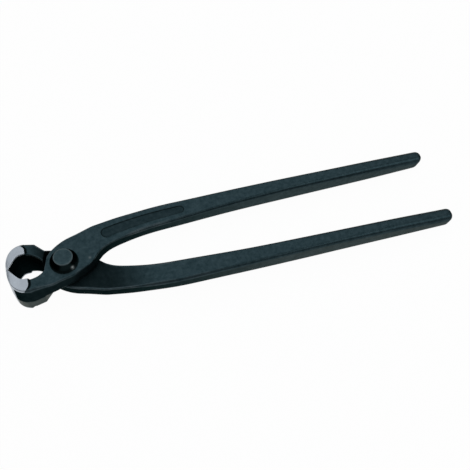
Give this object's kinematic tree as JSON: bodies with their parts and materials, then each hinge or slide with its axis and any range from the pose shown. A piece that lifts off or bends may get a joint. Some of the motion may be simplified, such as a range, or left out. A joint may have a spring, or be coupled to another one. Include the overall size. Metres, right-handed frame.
{
  "type": "end cutting nippers",
  "caption": "Riveted end cutting nippers: two crossed forged levers with long slim handles and short jaws that meet in a cutting edge across the front.",
  "frame": {"origin": "on the pivot axis, at the flat face of the rear rivet head", "axes": "+X to the handle ends, +Y to the upper handle, +Z along the rivet towards its front head"},
  "size_m": [0.249, 0.0516, 0.023],
  "materials": {
    "lever_steel": "blackened forged steel, satin, with the jaw sides ground bright",
    "rivet_steel": "blackened steel, semi-gloss"
  },
  "bodies": {
    "lower": {"lower_lever": "lever_steel", "pivot_rivet": "rivet_steel"},
    "upper": {"upper_lever": "lever_steel"}
  },
  "joints": [
    {"name": "jaw_hinge", "type": "hinge", "parent": "lower", "child": "upper", "pos_m": [0, 0, 0.0115], "axis": [0, 0, 1], "range_deg": [0, 30]}
  ]
}
